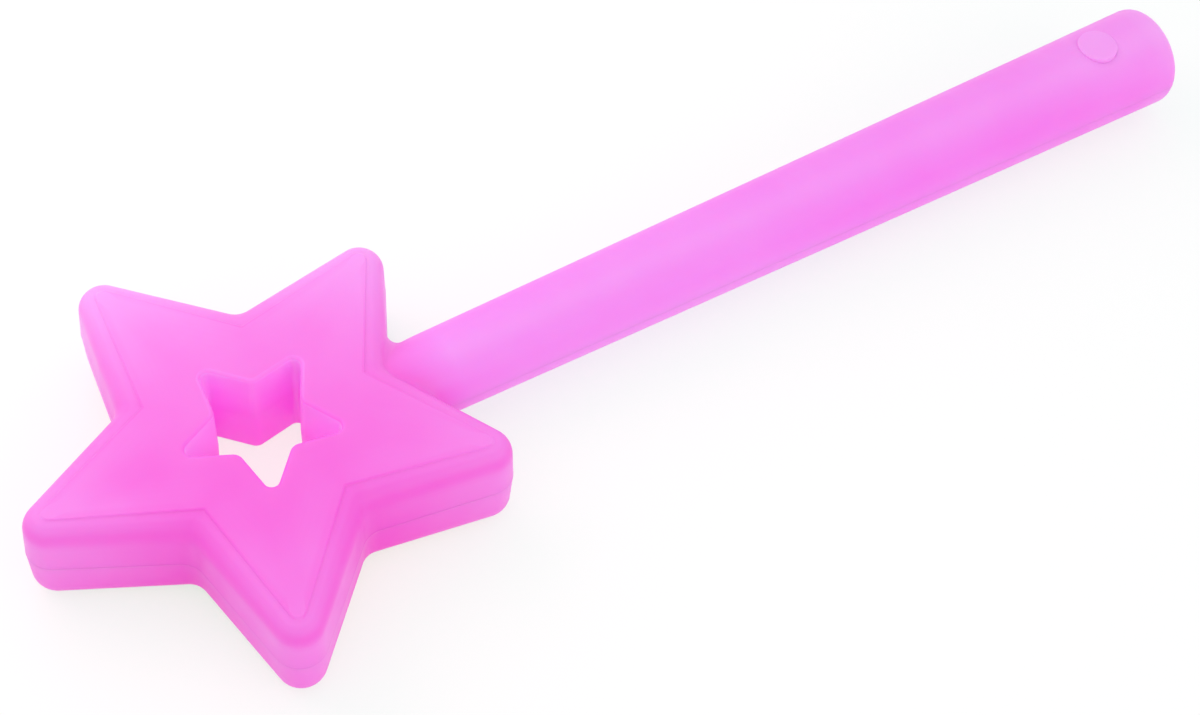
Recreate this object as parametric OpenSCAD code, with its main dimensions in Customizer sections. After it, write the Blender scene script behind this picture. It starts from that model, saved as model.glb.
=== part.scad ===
// Toy magic wand: a hollow five-pointed star on a tapered round handle.
// Two half shells meet on a lipped seam, and a round plug closes the air hole in the handle.

/* [Star] */
// Distance from the star's centre to a tip, before the tip is rounded
star_tip_r = 60; // [50:0.5:75]
// Distance from the star's centre to a notch, before the notch is rounded
star_notch_r = 30.4; // [28:0.2:36]
// Thickness of the star, from one face panel to the other
star_t = 24.4; // [20:0.2:30]
// Radius of the rounded tips at the seam
star_tip_round = 5.7; // [5.2:0.1:8]
// Radius of the rounded notches at the seam
star_notch_round = 5.6; // [2:0.1:7]
// Radius of the shoulder that runs round each face
shoulder_r = 4.7; // [3:0.1:5.5]
// Width of the shoulder at the star's tips, where it is narrower than at the notches
tip_shoulder_w = 3.9; // [3.2:0.1:5]
// Narrowing of the side wall from the seam up to the shoulder
side_draft = 0.4; // [0.2:0.05:0.8]
// Height of the flat face panel above the shoulder
panel_rise = 0.35; // [0.2:0.05:0.8]
// Width of the sloping edge of the face panel
panel_slope = 0.25; // [0.15:0.05:0.6]
// Radius of the face panel's tips
panel_tip_r = 1.8; // [1:0.1:3]
// Radius of the face panel's inner corners
panel_corner_r = 0.5; // [0.3:0.1:1.5]

/* [Star hole] */
// Distance from the star's centre to a tip of the hole, before it is rounded
hole_tip_r = 19; // [16:0.2:24]
// Distance from the star's centre to an inner corner of the hole, before it is rounded
hole_notch_r = 9.3; // [8:0.1:12]
// Radius of the hole's rounded tips
hole_tip_round = 1.6; // [0.8:0.1:3]
// Radius of the hole's rounded inner corners
hole_notch_round = 2.5; // [1:0.1:4]
// Narrowing of the hole from its rim to the seam
hole_draft = 0.3; // [0.1:0.05:0.6]
// Radius of the hole's rounded rim
hole_rim_r = 1; // [0.3:0.1:1.2]

/* [Handle] */
// Distance from the star's centre to the butt end of the handle
handle_reach = 244; // [180:1:320]
// Diameter of the handle where it leaves the star
handle_neck_d = 18.6; // [15:0.1:21]
// Diameter of the handle at its butt end
handle_butt_d = 24.4; // [20:0.1:30]
// Radius of the rounded edge of the butt end
handle_end_r = 2.6; // [1:0.1:5]
// Radius of the fillet between the handle and the star's arms
neck_fillet_r = 2.4; // [1.5:0.1:4]

/* [Shell and seam] */
// Thickness of the shells' walls
wall = 2.4; // [1.8:0.1:3]
// Height of the lip that stands above the seam
lip_h = 2; // [1.2:0.1:3]
// Side clearance between the lip and its rebate
lip_clearance = 0.1; // [0.05:0.05:0.2]
// Gap above the lip
lip_gap = 0.2; // [0.1:0.05:0.5]
// Height of the fine bead that stands out along the seam
bead_out = 0.2; // [0.1:0.05:0.4]
// Width of the seam bead across both shells
bead_w = 0.6; // [0.4:0.1:1]

/* [Air plug] */
// Diameter of the recess that holds the plug
recess_d = 10; // [7:0.1:11]
// Distance from the butt end to the middle of the recess
recess_from_end = 19; // [14:0.5:40]
// Height of the plug's flat top above the top of the handle
plug_stand = 0.2; // [0.1:0.05:0.4]
// Thickness of the plug's head
plug_head_t = 2.4; // [2.2:0.1:3]
// Diameter of the plug's stem
plug_stem_d = 5; // [3:0.1:5.4]
// Length of the plug's stem, which fills the ledge under the head
plug_stem_h = 1.6; // [1:0.1:1.8]
// Size of the chamfers on the plug
plug_chamfer = 0.3; // [0.1:0.05:0.5]
// Clearance round the plug
plug_clearance = 0.1; // [0.05:0.05:0.2]

/* [Hidden] */

// How finely round stretches are divided
tip_steps = 11;
notch_steps = 5;
shoulder_steps = 6;
corner_steps = 3;
end_steps = 6;
fillet_steps = 6;
fillet_slices = 24;
$fn = 96;

// The star and its hole as pairs of tip and notch distance
arms = 5;
half_arm = 180 / arms;
star = [star_tip_r, star_notch_r];
hole = [hole_tip_r, hole_notch_r];
function tip_angle(form) = atan2(form[1] * sin(half_arm), form[0] - form[1] * cos(half_arm));
function notch_angle(form) = tip_angle(form) + half_arm;

// Heights above the seam
half_t = star_t / 2;
face_z = half_t - panel_rise;
shoulder_z = face_z - shoulder_r;
ceiling_z = half_t - wall;
cut_over = 1;

// Insets from the star's seam outline
face_inset = side_draft + shoulder_r;
cavity_inset = wall + side_draft;
function wall_inset(z) =
    let (up = min(max(z - shoulder_z, 0), shoulder_r))
    side_draft * min(z / shoulder_z, 1) + shoulder_r - sqrt(shoulder_r * shoulder_r - up * up);

// On the outside the star is drawn in less at its tips, and its tips and notches sharpen towards the face panel
function drawn_star(inset) =
    [star_tip_r - inset * tip_shoulder_w / face_inset / sin(tip_angle(star)),
        star_notch_r - inset / sin(notch_angle(star))];
function drawn_tip_r(inset) =
    star_tip_round + (panel_tip_r - star_tip_round) * min(inset / face_inset, 1);
function drawn_notch_r(inset) =
    let (drawn_share = min(max(inset / face_inset, 0), 1))
    star_notch_round + (panel_corner_r - star_notch_round) * drawn_share;

// Thicknesses inside the shells
cavity_corner_r = max(shoulder_r - wall, panel_corner_r);
rim_share = 0.5;
rim_t = wall * rim_share;

// The handle's line and the wand's own reach
neck_x = star_notch_r;
butt_r = handle_butt_d / 2;
neck_r = handle_neck_d / 2;
cone_end_x = handle_reach - handle_end_r;
handle_slope = (butt_r - neck_r) / (cone_end_x - neck_x);
function handle_r(x) = neck_r + handle_slope * (x - neck_x);
tip_reach = star_tip_r - star_tip_round / sin(tip_angle(star)) + star_tip_round;
mid_x = (handle_reach - tip_reach) / 2;
rest_h = max(half_t, butt_r);

// The neck fillet: how deep its hidden edges sink, and how far it bites into the star's wall
fillet_sink_share = 0.4;
fillet_bite_share = 0.02;
fillet_sink = wall * fillet_sink_share;
fillet_bite = wall * fillet_bite_share;

// The plug's seat
recess_x = handle_reach - recess_from_end;
crown_z = handle_r(recess_x);
head_z = crown_z + plug_stand;
seat_z = head_z - plug_head_t;
ledge_z = seat_z - plug_stem_h;
boss_d = recess_d + wall;

function polar(r, a) = [r * cos(a), r * sin(a)];

// The outline of a star form, drawn in by an inset, with its tips and notches rounded by arcs
function outline(form, inset, tip_round, notch_round) =
    let (
        ta = tip_angle(form),
        na = notch_angle(form),
        tip_c = form[0] - (inset + tip_round) / sin(ta),
        notch_c = form[1] + (notch_round - inset) / sin(na)
    )
    [for (arm = [0 : arms - 1])
        let (notch_a = 2 * half_arm * arm, tip_a = notch_a + half_arm)
        each concat(
            [for (s = [0 : notch_steps])
                let (a = notch_a + 270 - na - (180 - 2 * na) * s / notch_steps)
                polar(notch_c, notch_a) + polar(notch_round, a)],
            [for (s = [0 : tip_steps])
                let (a = tip_a + ta - 90 + (180 - 2 * ta) * s / tip_steps)
                polar(tip_c, tip_a) + polar(tip_round, a)])];

// An outline inside the star's wall: its tips stay concentric as it is drawn in
function star_outline(inset, notch_round) =
    outline(star, inset, max(star_tip_round - inset, panel_corner_r), notch_round);

// An outline of the hole's wall, with concentric tips and corners
function hole_outline(inset) =
    outline(hole, inset, hole_tip_round - inset, max(hole_notch_round + inset, panel_corner_r));

// Rings of a loft: an outline at a height
function ring(points, z) = [for (p = points) [p[0], p[1], z]];
function hole_ring(inset, z) = ring(hole_outline(inset), z);
function cavity_ring(inset, z) = ring(star_outline(inset, star_notch_round), z);
function star_ring(inset, z) =
    ring(outline(drawn_star(inset), 0, drawn_tip_r(inset), drawn_notch_r(inset)), z);

// How far along the handle the star's wall stands in the notch, at a place across the wand and a height
function notch_wall_x(y, z) =
    let (
        inset = wall_inset(z),
        form = drawn_star(inset),
        na = notch_angle(form),
        r = drawn_notch_r(inset),
        across = abs(y)
    )
    across < r * cos(na)
        ? form[1] + r / sin(na) - sqrt(r * r - across * across)
        : form[1] + across / tan(na);

// A closed loft whose section runs round the star and back to where it began
module star_loft(rings) {
    count = len(rings[0]);
    faces = [for (i = [0 : len(rings) - 1], j = [0 : count - 1])
        let (
            here = i * count,
            next = (i + 1) % len(rings) * count,
            k = (j + 1) % count
        )
        each [[here + j, next + j, next + k], [here + j, next + k, here + k]]];
    polyhedron([for (r = rings) each r], faces);
}

// Half of the star: seam bead, drafted wall, rounded shoulder, raised panel and the hole's wall
module star_half() {
    shoulder = [for (s = [0 : shoulder_steps])
        let (a = 90 * s / shoulder_steps)
        star_ring(side_draft + shoulder_r * (1 - cos(a)), shoulder_z + shoulder_r * sin(a))];
    rim = [for (s = [0 : corner_steps])
        let (a = 90 * s / corner_steps)
        hole_ring(-hole_rim_r * (1 - sin(a)), half_t - hole_rim_r * (1 - cos(a)))];
    star_loft(concat(
        [star_ring(-bead_out, 0), star_ring(-bead_out, bead_w / 2), star_ring(0, bead_w / 2)],
        shoulder,
        [star_ring(face_inset + panel_slope, half_t)],
        rim,
        [hole_ring(hole_draft, 0)]));
}

// The hollow inside half of the star, carried past the seam
module star_cavity() {
    corner = [for (s = [0 : corner_steps])
        let (a = 90 * s / corner_steps)
        cavity_ring(cavity_inset + cavity_corner_r * (1 - cos(a)),
            ceiling_z - cavity_corner_r * (1 - sin(a)))];
    low_z = -lip_h - cut_over;
    star_loft(concat(
        [cavity_ring(cavity_inset, low_z)],
        corner,
        [hole_ring(-wall, ceiling_z), hole_ring(-wall, low_z)]));
}

// The handle as a turned form, drawn in by an inset on its side and at its butt end
module handle_form(inset, start_x) {
    end_r = max(handle_end_r - inset, panel_corner_r);
    end_x = handle_reach - inset;
    side_r = handle_r(end_x - end_r) - inset;
    end_arc = [for (s = [0 : end_steps])
        let (a = 90 * s / end_steps)
        [side_r - end_r * (1 - cos(a)), end_x - end_r * (1 - sin(a))]];
    rotate([0, 90, 0])
        rotate_extrude()
            polygon(concat([[0, start_x], [handle_r(start_x) - inset, start_x]], end_arc, [[0, end_x]]));
}

// A slab across the whole wand between two heights
module slab(low_z, high_z) {
    translate([-star_tip_r - cut_over, -star_tip_r - cut_over, low_z])
        cube([star_tip_r + handle_reach + 2 * cut_over, 2 * (star_tip_r + cut_over), high_z - low_z]);
}

// Half of the handle with its seam bead, from inside the star's wall to the butt end
module handle_half() {
    start_x = neck_x - wall;
    intersection() {
        handle_form(0, start_x);
        slab(0, rest_h + cut_over);
    }
    intersection() {
        handle_form(-bead_out, start_x);
        slab(0, bead_w / 2);
    }
}

// The fillet that runs over the handle from one arm of the star to the other, stood out by a bead
module neck_fillet(bead) {
    low_r = neck_r + bead;
    high_r = low_r + neck_fillet_r;
    slices = [for (s = [0 : fillet_slices])
        let (
            turn = 180 * s / fillet_slices,
            low_x = notch_wall_x(low_r * cos(turn), low_r * sin(turn)),
            high_x = notch_wall_x(high_r * cos(turn), high_r * sin(turn)),
            lean = atan2(neck_fillet_r, high_x - low_x),
            corner = [low_x + (bead - fillet_bite) / sin(lean), low_r],
            centre = corner + [neck_fillet_r / tan(lean / 2), neck_fillet_r],
            arc = [for (k = [0 : fillet_steps])
                centre + polar(neck_fillet_r, 270 - (180 - lean) * k / fillet_steps)],
            inside = [corner - [fillet_sink, fillet_sink], arc[0] - [0, fillet_sink]],
            into_arm = arc[fillet_steps] + polar(fillet_sink, lean + 90)
        )
        [for (p = concat(inside, arc, [into_arm])) [p[0], p[1] * cos(turn), p[1] * sin(turn)]]];
    count = len(slices[0]);
    sides = [for (i = [0 : fillet_slices - 1], j = [0 : count - 1])
        let (
            here = i * count,
            next = here + count,
            k = (j + 1) % count
        )
        each [[here + j, next + j, next + k], [here + j, next + k, here + k]]];
    last = fillet_slices * count;
    ends = [for (j = [1 : count - 2]) each [[0, j, j + 1], [last, last + j + 1, last + j]]];
    polyhedron([for (s = slices) each s], concat(sides, ends));
}

// What lies inside the outer rim at the seam: the space of the lip, drawn in by its clearance
module seam_core(clearance, low_z, high_z) {
    inset = rim_t + clearance;
    translate([0, 0, low_z])
        linear_extrude(high_z - low_z)
            difference() {
                polygon(star_outline(inset, star_notch_round));
                polygon(hole_outline(-inset));
            }
    intersection() {
        handle_form(inset, neck_x - wall);
        slab(low_z, high_z);
    }
}

// The hollow inside half of the wand
module cavity() {
    star_cavity();
    handle_form(wall, neck_x - 2 * wall);
}

// Half of the wand above its seam, with the lip standing down past the seam or with the rebate for it
module half_shell(lipped) {
    difference() {
        union() {
            star_half();
            handle_half();
            neck_fillet(0);
            intersection() {
                neck_fillet(bead_out);
                slab(0, bead_w / 2);
            }
            if (lipped) seam_core(lip_clearance, -lip_h, cut_over);
        }
        cavity();
        if (!lipped) seam_core(0, -cut_over, lip_h + lip_gap);
    }
}

// From the star's centre on the seam to the wand's own frame, which rests on the floor
module placed() {
    translate([-mid_x, 0, rest_h]) children();
}

module upper_shell() {
    color("orchid")
        placed()
            difference() {
                union() {
                    half_shell(false);
                    intersection() {
                        handle_form(0, neck_x);
                        translate([recess_x, 0, ledge_z])
                            cylinder(h = crown_z - ledge_z + cut_over, d = boss_d);
                    }
                }
                translate([recess_x, 0, seat_z]) cylinder(h = crown_z - seat_z + cut_over, d = recess_d);
                translate([recess_x, 0, ledge_z - cut_over])
                    cylinder(h = plug_stem_h + 2 * cut_over, d = plug_stem_d);
            }
}

module lower_shell() {
    color("mediumorchid")
        placed()
            mirror([0, 0, 1]) half_shell(true);
}

module air_plug() {
    head_r = recess_d / 2 - plug_clearance;
    stem_r = plug_stem_d / 2 - plug_clearance;
    color("violet")
        placed()
            translate([recess_x, 0, seat_z])
                rotate_extrude()
                    polygon([
                        [0, -plug_stem_h],
                        [stem_r - plug_chamfer, -plug_stem_h],
                        [stem_r, plug_chamfer - plug_stem_h],
                        [stem_r, 0],
                        [head_r, 0],
                        [head_r, plug_head_t - plug_chamfer],
                        [head_r - plug_chamfer, plug_head_t],
                        [0, plug_head_t]
                    ]);
}

upper_shell();
lower_shell();
air_plug();
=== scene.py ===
"""Looks of a toy magic wand: two satin pink half shells and an air plug, on a white studio floor."""

import math

import bmesh
import bpy
from bpy.props import FloatProperty, FloatVectorProperty, PointerProperty
from mathutils import Matrix, Vector


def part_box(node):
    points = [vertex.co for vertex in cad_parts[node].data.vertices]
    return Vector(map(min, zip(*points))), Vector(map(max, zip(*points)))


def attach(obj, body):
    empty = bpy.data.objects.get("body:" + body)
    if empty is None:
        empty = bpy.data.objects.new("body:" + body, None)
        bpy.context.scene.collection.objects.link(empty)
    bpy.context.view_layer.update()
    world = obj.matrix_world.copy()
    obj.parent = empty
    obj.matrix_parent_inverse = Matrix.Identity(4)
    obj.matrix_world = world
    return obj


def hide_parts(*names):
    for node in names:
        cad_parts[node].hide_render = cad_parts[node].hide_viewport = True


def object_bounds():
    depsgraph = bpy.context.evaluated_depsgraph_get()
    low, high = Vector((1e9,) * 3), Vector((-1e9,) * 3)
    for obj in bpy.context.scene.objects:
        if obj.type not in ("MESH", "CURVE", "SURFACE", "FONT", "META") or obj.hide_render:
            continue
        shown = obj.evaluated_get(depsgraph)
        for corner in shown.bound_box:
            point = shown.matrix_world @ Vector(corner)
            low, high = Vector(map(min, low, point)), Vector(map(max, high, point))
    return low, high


bl_info = {
    "name": "Toy magic wand",
    "version": (1, 0, 0),
    "blender": (4, 5, 0),
    "location": "View3D > Sidebar > Wand",
    "description": "Models and dresses a toy star wand around its packed part",
    "category": "Add Mesh",
}

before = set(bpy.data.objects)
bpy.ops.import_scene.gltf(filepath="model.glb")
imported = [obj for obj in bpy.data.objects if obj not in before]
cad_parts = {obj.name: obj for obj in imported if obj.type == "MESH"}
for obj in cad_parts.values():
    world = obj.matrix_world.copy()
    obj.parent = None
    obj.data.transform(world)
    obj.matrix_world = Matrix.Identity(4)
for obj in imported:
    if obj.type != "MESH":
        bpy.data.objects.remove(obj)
PART_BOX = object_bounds()
SHELL_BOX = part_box("upper_shell")
PLUG_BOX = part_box("air_plug")

MM = 0.001
ARMS = 5
HALF_ARM = math.pi / ARMS
FULL_TURN = 360

# Points nearer than this many metres are merged, and no share that divides a length goes below the least one
MERGE = 1e-7
LEAST_SHARE = 1e-9

# Faces that meet at less than this are shaded as one
SMOOTH_ANGLE = math.radians(32)

# How finely the round stretches are divided
TIP_STEPS = 16
NOTCH_STEPS = 10
SHOULDER_STEPS = 10
RIM_STEPS = 5
PANEL_STEPS = 8
FILLET_STEPS = 9
END_STEPS = 8
ROUND_STEPS = 96
WALL_STEPS = 5
HANDLE_STEPS = 48
SEAT_RIM_STEPS = 2

# Rows of the star's wall: across the seam bead as shares of its height and half width, beside it as shares
# of its half width, up the panel's edge as shares of its slope and rise, and in from there of its border
BEAD_SHARES = ((1.0, 0.0), (1.0, 0.5), (0.5, 0.75))
BESIDE_BEAD_SHARES = (1.0, 1.25)
PANEL_EDGE_SHARES = ((0.2, 0.1), (0.8, 0.8), (1.0, 0.94))
BORDER_SHARES = (0.3, 0.8, 1.3)

# Rows down the hole, as shares of its wall
HOLE_SHARES = (0.35, 0.7, 1.0)

# The opening for the handle goes past its neck by shares of the fillet, and its columns are shares of half
# its width
NECK_ABOVE_SHARE = 0.6
NECK_BESIDE_SHARE = 2.4
COLUMN_SHARES = (0.0, 0.09, 0.18, 0.29, 0.42, 0.58, 0.78, 1.0)

# Rows of the handle: from the opening to the fillet, past the fillet by a share of it, and over the butt end
NECK_WALL_SHARES = (0.4, 0.75)
PAST_FILLET_SHARE = 1.5
BUTT_SHARES = (0.6, 0.25, 0.0)

# The plug's eased edge and flat top, as shares of its chamfer
PLUG_EASE_SHARE = 0.3
PLUG_FLAT_SHARE = 2.0

# The rim of the plug's seat is found this near its radius and down to this depth, as shares of the radius
# and of the head
SEAT_NEAR_SHARE = 0.01
SEAT_DEEP_SHARE = 0.75

# Painted light and shade on the plastic, standing in for how light falls on it and shows through it, from 0
# where it is painted deep to 1 where it is painted pale
# The face panel is painted lighter than the wall, and both are painted paler to the tips
PANEL_LIGHT = 0.16
PANEL_TIP_LIGHT = 0.32
WALL_LIGHT = 0.02
WALL_TIP_LIGHT = 0.31
# Painted shade along the crease that borders the face panel
BORDER_SHADE = 0.1
# Painted light in the hole's nooks
NOOK_LIGHT = 0.28
# A painted highlight along the hole's rim, stronger on its far side
RIM_HIGHLIGHT = 0.14
# The handle is painted paler than the star, as painted light
HANDLE_LIGHT = 0.47
# The plug's top is painted light and its sides are painted shade
PLUG_TOP_LIGHT = 0.7
PLUG_SIDE_SHADE = 0.3

# Painted shade bands and painted highlights across the star's wall at its tips and at its notches, from its
# lower face at -1 over the seam to its upper face at 1, and painted light down the hole from its rim at 0 to
# its foot at 1
TIP_SHADE_BANDS = ((-0.97, 0.0), (-0.82, -0.04), (-0.7, -0.03), (-0.3, 0.0), (0.0, 0.02), (0.25, 0.05),
             (0.5, 0.07), (0.78, -0.17), (0.93, 0.04), (0.96, 0.1), (0.973, 0.06), (0.98, 0.0), (1.0, 0.0))
NOTCH_SHADE_BANDS = ((-0.97, 0.0), (-0.82, -0.24), (-0.5, -0.2), (0.0, -0.14), (0.5, -0.07), (0.78, -0.03),
               (0.93, 0.04), (0.96, 0.1), (0.973, 0.06), (0.98, 0.0), (1.0, 0.0))
HOLE_LIGHT_BANDS = ((0.0, 0.6), (0.25, 0.66), (0.6, 0.5), (1.0, 0.4))

# Painted highlight and shade round the handle by degrees, from its underside over its near side at 0, its
# crown and its far side
UNDERSIDE = -90
HANDLE_SHADE_BANDS = ((UNDERSIDE, 0.0), (5, 0.0), (30, -0.05), (45, -0.04), (75, 0.11), (100, 0.0),
                (128, -0.14), (150, -0.16), (200, -0.05), (270, 0.0))

# Along the handle, as shares of its reach: its near side is painted in shade and its upper side is painted
# paler in light to the butt end. The degrees say how far round it each side goes. Up to a share of the reach
# it is painted paler all round, and from there on only its upper side is
NEAR_SHADE_BANDS = ((0.36, 0.0), (0.68, -0.13), (0.85, -0.13), (0.94, -0.1), (0.985, 0.0))
OVER_LIGHT_BANDS = ((0.2, 0.09), (0.7, 0.0), (0.82, 0.0), (0.95, 0.16), (0.97, 0.18), (0.985, 0.32))
NEAR_SIDE = ((UNDERSIDE, 0.0), (-30, 1.0), (25, 1.0), (65, 0.0))
OVER_SIDE = ((5, 0.0), (45, 1.0), (185, 1.0), (245, 0.0))
OVER_FROM_SHARE = 0.7

# The star's arms are painted paler to their tips, as light showing through the narrow arms, between these
# shares of the notch distance and the tip distance
ARM_FOOT_SHARE = 0.75
ARM_TIP_SHARE = 0.85

# The hole's wall and rim are found by shares of the rim's radius, and the border by one of the panel's rise
HOLE_NEAR_SHARE = 1.2
HOLE_EDGE_SHARE = 0.01
RIM_TOP_SHARE = 0.6
BORDER_FROM_SHARE = 0.05

# Painted light: the star's far arms are painted paler, as if the light behind the wand showed through them,
# by its own share on the panel and on the wall, behind the star's centre and in front of it
BACK_TURN = math.radians(73)
BACK_WAY = Vector((math.cos(BACK_TURN), math.sin(BACK_TURN)))
BACK_LIGHT = 0.36
PANEL_BACK_SHARE = 1.15
PANEL_FRONT_SHARE = 0.6
WALL_BACK_SHARE = 1.5
WALL_FRONT_SHARE = 0.3
RIM_BACK_SHARE = 0.15

# Painted glow: emission on the hole's wall that stands in for light passing through the plastic into it,
# from its rim to its foot
PAINTED_GLOW_BANDS = ((0.0, 0.03), (0.3, 0.035), (1.0, 0.055))

# How much bluer the hole's wall is painted, as painted shade, and the handle at its neck and at its butt end
HOLE_SHADE_BLUE = 0.2
NECK_BLUE = 1.5
BUTT_BLUE = 0.7

# The photograph's camera, as worked out from the wand's outline
PHOTO_WIDTH = 1200
SENSOR_WIDTH = 36.0
CAMERA_FOCUS = 2346.1
CAMERA_AZIMUTH = math.radians(233.008)
CAMERA_ELEVATION = math.radians(53.145)
CAMERA_ROLL = math.radians(6.282)
CAMERA_OFFSET = Vector((71.93, 27.125, 504.392)) * MM
CAMERA_NEAREST = 10 * MM

# Noise of the plastic by scale and detail, and how strongly the pigment clouds each piece
CLOUD_NOISE = (38.0, 3.0)
DRIFT_NOISE = (140.0, 4.0)
GRAIN_NOISE = (2200.0, 2.0)
WAVE_NOISE = (90.0, 1.0)
NOISE_MIDDLE = 0.5
DRIFT_LOW = 0.35
DRIFT_HIGH = 0.65
GRAIN_SHARE = 0.08
SHELL_CLOUD = 0.3
PLUG_CLOUD = 0.2

# Softboxes by name, place, aim, width, depth and power, and the white sky
SOFTBOXES = (
    ("back softbox", (-0.15, 0.20, 0.20), (-0.10, 0.03, 0.02), 0.35, 0.2, 0.17),
    ("top softbox", (0.0, 0.10, 0.60), (0.0, 0.0, 0.0), 0.8, 0.5, 0.12),
    ("side softbox", (0.15, -0.57, 0.30), (0.0, 0.0, 0.0), 0.7, 0.4, 0.45),
)
SKY_STRENGTH = 0.85

# The floor as the camera sees it: its colour, and the light that lifts it to white
FLOOR_SIZE = 8.0
FLOOR_SEEN = (0.95, 0.29, 0.54)
FLOOR_LIFT = (0.08, 0.725, 0.48)

# The floor turns plain white to the camera between these distances from the wand's middle, in metres
FLOOR_NEAR = 0.2
FLOOR_FAR = 0.45

# Bright pink keeps its light through many turns in the hole, so it is followed further than usual
LIGHT_BOUNCES = 16


def length(name, description, default):
    """A length that a user may change, in metres."""
    return FloatProperty(
        name=name, description=description, default=default, min=0.0, precision=5, unit="LENGTH")


def colour(name, description, default):
    """A colour that a user may change."""
    return FloatVectorProperty(
        name=name, description=description, default=default, min=0.0, max=1.0, subtype="COLOR")


class WandStar(bpy.types.PropertyGroup):
    """Sizes of the star"""

    tip_r: length("Tip distance", "From the star's centre to a tip, before it is rounded", 60 * MM)
    notch_r: length("Notch distance", "From the star's centre to a notch, before it is rounded", 30.4 * MM)
    half_t: length("Half thickness", "From the seam to the face panel", SHELL_BOX[1].z - SHELL_BOX[0].z)
    tip_round: length("Tip radius", "Radius of the rounded tips at the seam", 5.7 * MM)
    notch_round: length("Notch radius", "Radius of the rounded notches at the seam", 5.6 * MM)
    shoulder_r: length("Shoulder radius", "Radius of the shoulder round each face", 4.7 * MM)
    tip_shoulder_w: length("Tip shoulder", "Width of the shoulder at the tips", 3.9 * MM)
    side_draft: length("Side draft", "Narrowing of the wall from the seam to the shoulder", 0.4 * MM)
    panel_rise: length("Panel rise", "Height of the face panel above the shoulder", 0.35 * MM)
    panel_slope: length("Panel slope", "Width of the sloping edge of the face panel", 0.3 * MM)
    border_w: length("Panel border", "Width of the deeper line that borders the face panel", 0.35 * MM)
    panel_tip_r: length("Panel tip radius", "Radius of the face panel's tips", 1.8 * MM)
    corner_r: length("Panel corner radius", "Radius of the face panel's inner corners", 0.5 * MM)
    hole_tip_r: length("Hole tip distance", "From the star's centre to a tip of the hole", 19 * MM)
    hole_notch_r: length("Hole corner distance", "From the star's centre to a corner of the hole", 9.3 * MM)
    hole_tip_round: length("Hole tip radius", "Radius of the hole's rounded tips", 1.6 * MM)
    hole_notch_round: length("Hole corner radius", "Radius of the hole's inner corners", 2.5 * MM)
    hole_draft: length("Hole draft", "Narrowing of the hole from its rim to the seam", 0.3 * MM)
    hole_rim_r: length("Hole rim radius", "Radius of the hole's rounded rim", 1.0 * MM)
    bead_out: length("Bead height", "How far the seam bead stands out", 0.03 * MM)
    bead_h: length("Bead half width", "Width of the seam bead on one shell", 0.3 * MM)


class WandHandle(bpy.types.PropertyGroup):
    """Sizes of the handle and of its plug"""

    reach: length("Reach", "From the star's centre to the butt end", 244 * MM)
    neck_r: length("Neck radius", "Radius of the handle where it leaves the star", 9.3 * MM)
    butt_r: length("Butt radius", "Radius of the handle at its butt end", 12.2 * MM)
    end_r: length("End radius", "Radius of the rounded edge of the butt end", 2.6 * MM)
    fillet_r: length("Neck fillet", "Radius of the fillet between the handle and the star", 2.4 * MM)
    seat_gap: length("Seat gap", "Clearance round the plug's head", 0.03 * MM)
    seat_rim: length("Seat rim", "Rounding of the seat's rim", 0.08 * MM)
    plug_head_t: length("Plug head", "Thickness of the plug's head", 2.4 * MM)
    plug_stem_r: length("Plug stem", "Radius of the plug's stem", 2.4 * MM)
    plug_chamfer: length("Plug chamfer", "Size of the chamfers on the plug", 0.3 * MM)


class WandColours(bpy.types.PropertyGroup):
    """Colours of the plastic and of the floor"""

    # The deep and bluer pinks are the plastic in painted shade, the pale and plug pinks the plastic in
    # painted light
    deep: colour("Deep pink", "The star's plastic where it is thick", (0.985, 0.105, 0.725))
    blue: colour("Bluer pink", "The handle's plastic where it is thick", (0.985, 0.105, 0.86))
    pale: colour("Pale pink", "The plastic where it is thin", (1.0, 0.42, 1.0))
    plug: colour("Plug pink", "The plug, moulded a shade lighter", (1.0, 0.45, 1.0))
    floor: colour("Floor", "The studio floor", (0.96, 0.96, 0.96))


class WandSettings(bpy.types.PropertyGroup):
    """All that a user may change on the wand"""

    star: PointerProperty(type=WandStar, name="Star", description="Sizes of the star")
    handle: PointerProperty(type=WandHandle, name="Handle", description="Sizes of the handle")
    colours: PointerProperty(type=WandColours, name="Colours", description="Colours of the wand")


def polar(r, a):
    """A point on a circle round the star's centre, in its plane."""
    return Vector((r * math.cos(a), r * math.sin(a)))


def spread(start, end, steps):
    """Evenly spread values from start to end, both included."""
    return [start + (end - start) * s / steps for s in range(steps + 1)]


def blend(low, high, share):
    """A smooth step from low to high as the share goes from 0 to 1."""
    share = min(max(share, 0.0), 1.0)
    return low + (high - low) * share * share * (3 - 2 * share)


def curve(x, points):
    """The value at x of a smooth line through points that are given from left to right."""
    for (x0, v0), (x1, v1) in zip(points, points[1:]):
        if x < x1:
            return blend(v0, v1, (x - x0) / (x1 - x0))
    return points[-1][1]


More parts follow.
